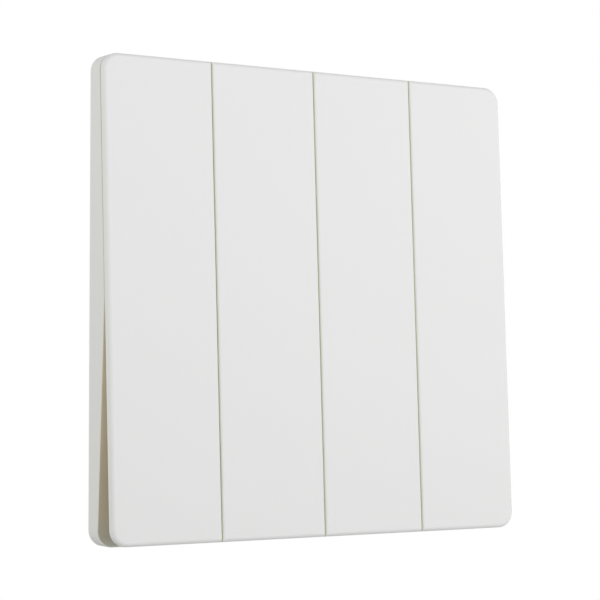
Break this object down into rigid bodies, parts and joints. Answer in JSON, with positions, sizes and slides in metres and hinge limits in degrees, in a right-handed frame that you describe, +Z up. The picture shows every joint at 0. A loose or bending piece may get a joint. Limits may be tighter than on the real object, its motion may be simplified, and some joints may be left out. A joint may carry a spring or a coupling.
{
  "type": "light switch",
  "caption": "Square flush wall switch with tall rockers that cover a thin roof-shaped frame, and a rear housing with lever contacts and screw terminals.",
  "frame": {"origin": "midway between the two fixing holes, on the wall plane", "axes": "+X to the right as seen from the room, +Y into the wall, +Z up"},
  "size_m": [0.086, 0.0333, 0.086],
  "materials": {
    "rocker_white": "satin moulded",
    "frame_white": "satin moulded",
    "housing_grey": "moulded",
    "mechanism_white": "moulded",
    "plunger_black": "moulded",
    "spring_steel": "drawn wire",
    "zinc_steel": "zinc plated",
    "silver": "silver alloy",
    "brass": "stamped"
  },
  "bodies": {
    "base": {"front_frame": "frame_white", "housing": "housing_grey", "housing_screws": "zinc_steel", "terminal_screws": "zinc_steel", "fixed_contacts": "silver", "common_strip_1": "brass", "line_strip_1": "brass", "line_terminal_1": "brass", "common_terminal_1": "brass", "common_strip_2": "brass", "line_strip_2": "brass", "line_terminal_2": "brass", "common_terminal_2": "brass", "common_strip_3": "brass", "line_strip_3": "brass", "line_terminal_3": "brass", "common_terminal_3": "brass", "common_strip_4": "brass", "line_strip_4": "brass", "line_terminal_4": "brass", "common_terminal_4": "brass"},
    "switch_1": {"rocker_1": "rocker_white", "actuator_1": "mechanism_white", "spring_1": "spring_steel"},
    "pin_1": {"plunger_1": "plunger_black"},
    "lever_1": {"contact_lever_1": "brass", "moving_contact_1": "silver"},
    "switch_2": {"rocker_2": "rocker_white", "actuator_2": "mechanism_white", "spring_2": "spring_steel"},
    "pin_2": {"plunger_2": "plunger_black"},
    "lever_2": {"contact_lever_2": "brass", "moving_contact_2": "silver"},
    "switch_3": {"rocker_3": "rocker_white", "actuator_3": "mechanism_white", "spring_3": "spring_steel"},
    "pin_3": {"plunger_3": "plunger_black"},
    "lever_3": {"contact_lever_3": "brass", "moving_contact_3": "silver"},
    "switch_4": {"rocker_4": "rocker_white", "actuator_4": "mechanism_white", "spring_4": "spring_steel"},
    "pin_4": {"plunger_4": "plunger_black"},
    "lever_4": {"contact_lever_4": "brass", "moving_contact_4": "silver"}
  },
  "joints": [
    {"name": "rocker_1_hinge", "type": "hinge", "parent": "base", "child": "switch_1", "pos_m": [0, -0.0021, 0], "axis": [1, 0, 0], "range_deg": [0, 6]},
    {"name": "plunger_1_slide", "type": "slide", "parent": "switch_1", "child": "pin_1", "axis": [0, -0.9986, 0.0523], "range_m": [0, 0.001], "stiffness_N_per_m": 1200, "springref_m": -0.003, "deforming": ["spring_1"]},
    {"name": "lever_1_hinge", "type": "hinge", "parent": "base", "child": "lever_1", "pos_m": [0, 0.01903, 0], "axis": [1, 0, 0], "range_deg": [-20, 0]},
    {"name": "rocker_2_hinge", "type": "hinge", "parent": "base", "child": "switch_2", "pos_m": [0, -0.0021, 0], "axis": [1, 0, 0], "range_deg": [0, 6]},
    {"name": "plunger_2_slide", "type": "slide", "parent": "switch_2", "child": "pin_2", "axis": [0, -0.9986, 0.0523], "range_m": [0, 0.001], "stiffness_N_per_m": 1200, "springref_m": -0.003, "deforming": ["spring_2"]},
    {"name": "lever_2_hinge", "type": "hinge", "parent": "base", "child": "lever_2", "pos_m": [0, 0.01903, 0], "axis": [1, 0, 0], "range_deg": [-20, 0]},
    {"name": "rocker_3_hinge", "type": "hinge", "parent": "base", "child": "switch_3", "pos_m": [0, -0.0021, 0], "axis": [1, 0, 0], "range_deg": [0, 6]},
    {"name": "plunger_3_slide", "type": "slide", "parent": "switch_3", "child": "pin_3", "axis": [0, -0.9986, 0.0523], "range_m": [0, 0.001], "stiffness_N_per_m": 1200, "springref_m": -0.003, "deforming": ["spring_3"]},
    {"name": "lever_3_hinge", "type": "hinge", "parent": "base", "child": "lever_3", "pos_m": [0, 0.01903, 0], "axis": [1, 0, 0], "range_deg": [-20, 0]},
    {"name": "rocker_4_hinge", "type": "hinge", "parent": "base", "child": "switch_4", "pos_m": [0, -0.0021, 0], "axis": [1, 0, 0], "range_deg": [0, 6]},
    {"name": "plunger_4_slide", "type": "slide", "parent": "switch_4", "child": "pin_4", "axis": [0, -0.9986, 0.0523], "range_m": [0, 0.001], "stiffness_N_per_m": 1200, "springref_m": -0.003, "deforming": ["spring_4"]},
    {"name": "lever_4_hinge", "type": "hinge", "parent": "base", "child": "lever_4", "pos_m": [0, 0.01903, 0], "axis": [1, 0, 0], "range_deg": [-20, 0]}
  ],
  "couplings": [
    {"joint": "lever_1_hinge", "follows": "rocker_1_hinge", "ratio": -3.3333},
    {"joint": "lever_2_hinge", "follows": "rocker_2_hinge", "ratio": -3.3333},
    {"joint": "lever_3_hinge", "follows": "rocker_3_hinge", "ratio": -3.3333},
    {"joint": "lever_4_hinge", "follows": "rocker_4_hinge", "ratio": -3.3333}
  ]
}
